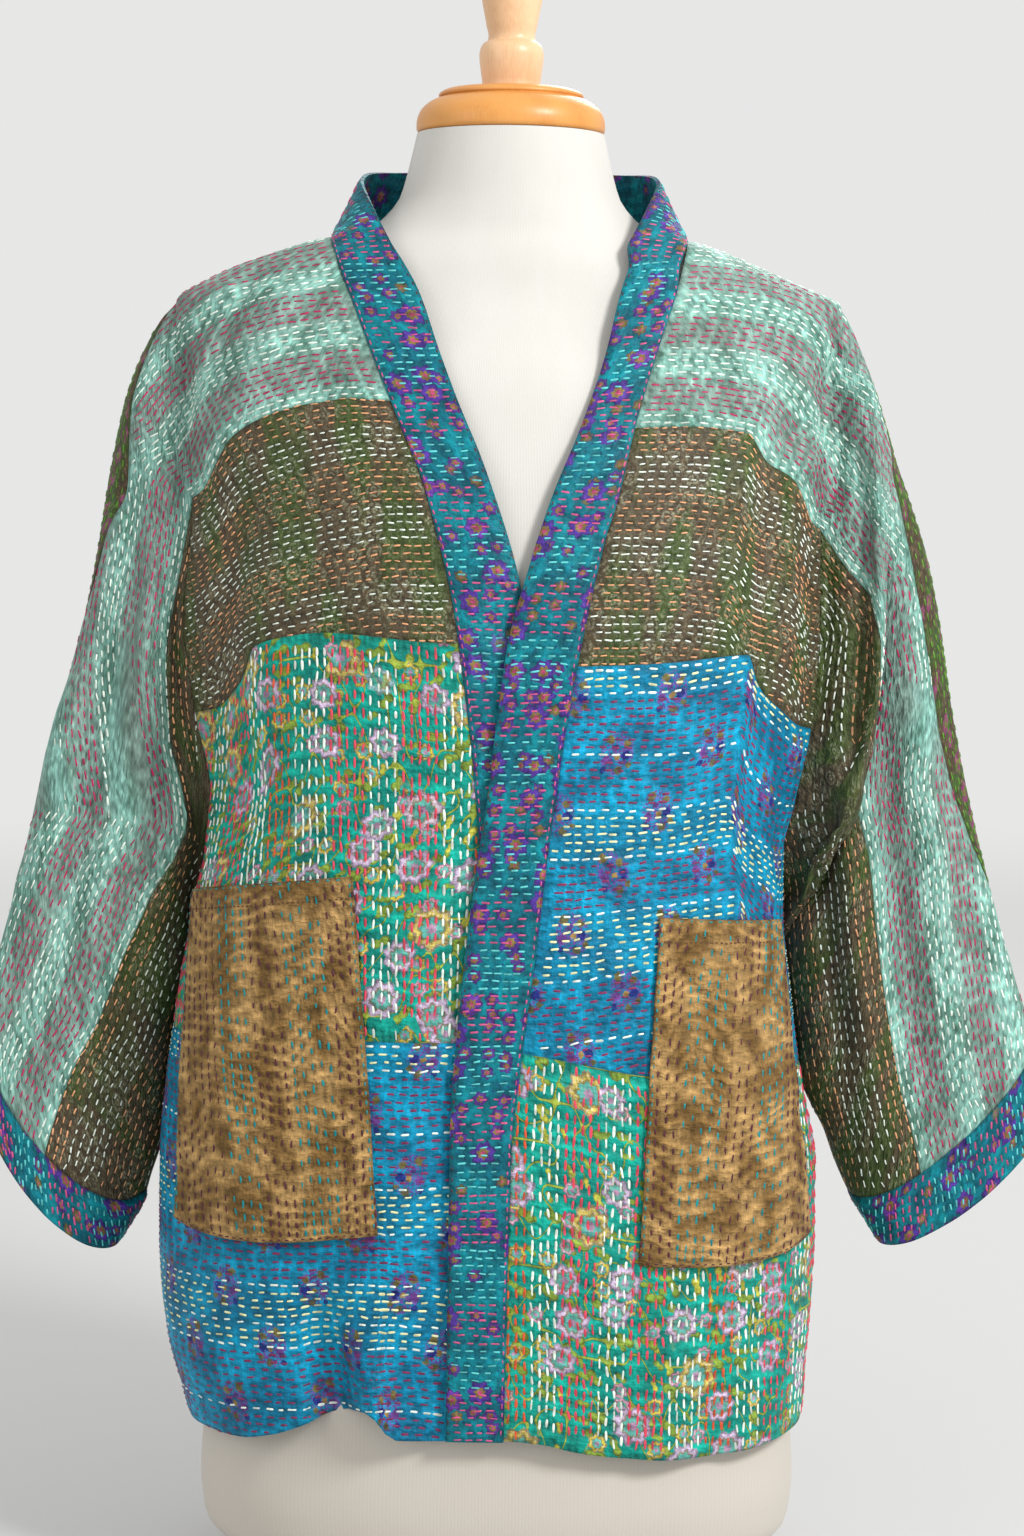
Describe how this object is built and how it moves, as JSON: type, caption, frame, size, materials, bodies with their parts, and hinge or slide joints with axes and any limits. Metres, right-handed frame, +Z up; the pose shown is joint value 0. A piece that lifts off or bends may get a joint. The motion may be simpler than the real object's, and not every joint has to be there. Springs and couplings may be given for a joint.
{
  "type": "kimono jacket on a dress form",
  "caption": "Hip-length open-front kimono jacket of running-stitched patchwork with wide sleeves, a long neckband and patch pockets, standing on a limbless dress form.",
  "frame": {"origin": "middle of the underside of the dress form's base, on the form's upright axis", "axes": "+Z up, -Y towards the jacket's front, +X towards the side that is on the right as seen from the front"},
  "size_m": [0.6428, 0.2623, 0.9776],
  "materials": {
    "mint_silk": "mottled mint green silk, soft sheen",
    "olive_print": "olive green printed silk, soft sheen",
    "floral_print": "turquoise silk with small flowers, soft sheen",
    "blue_print": "cerulean blue silk with small motifs, soft sheen",
    "green_print": "dark green and brown printed silk, soft sheen",
    "camel_nap": "camel brown cloth with a short nap",
    "teal_print": "teal silk with small purple flowers, soft sheen",
    "patch_silk": "deep green silk",
    "cream_linen": "cream linen, matte",
    "maple": "honey-coloured turned wood, satin varnish",
    "pale_wood": "pale wood, satin varnish"
  },
  "bodies": {
    "root": {"front_left_mint": "mint_silk", "front_right_mint": "mint_silk", "front_left_olive": "olive_print", "front_right_olive": "olive_print", "sleeve_left_olive": "olive_print", "sleeve_right_olive": "olive_print", "front_left_floral": "floral_print", "front_right_floral": "floral_print", "front_left_blue": "blue_print", "front_right_blue": "blue_print", "back_upper": "green_print", "sleeve_left_back": "green_print", "sleeve_right_back": "green_print", "back_lower": "floral_print", "neckband_left": "teal_print", "neckband_right": "teal_print", "neckband_back": "teal_print", "cuff_left": "teal_print", "cuff_right": "teal_print", "pocket_left": "camel_nap", "pocket_right": "camel_nap", "sleeve_repair_patch": "patch_silk", "form_body": "cream_linen", "form_base": "pale_wood", "neck_cap": "maple", "neck_finial": "pale_wood"}
  },
  "joints": []
}
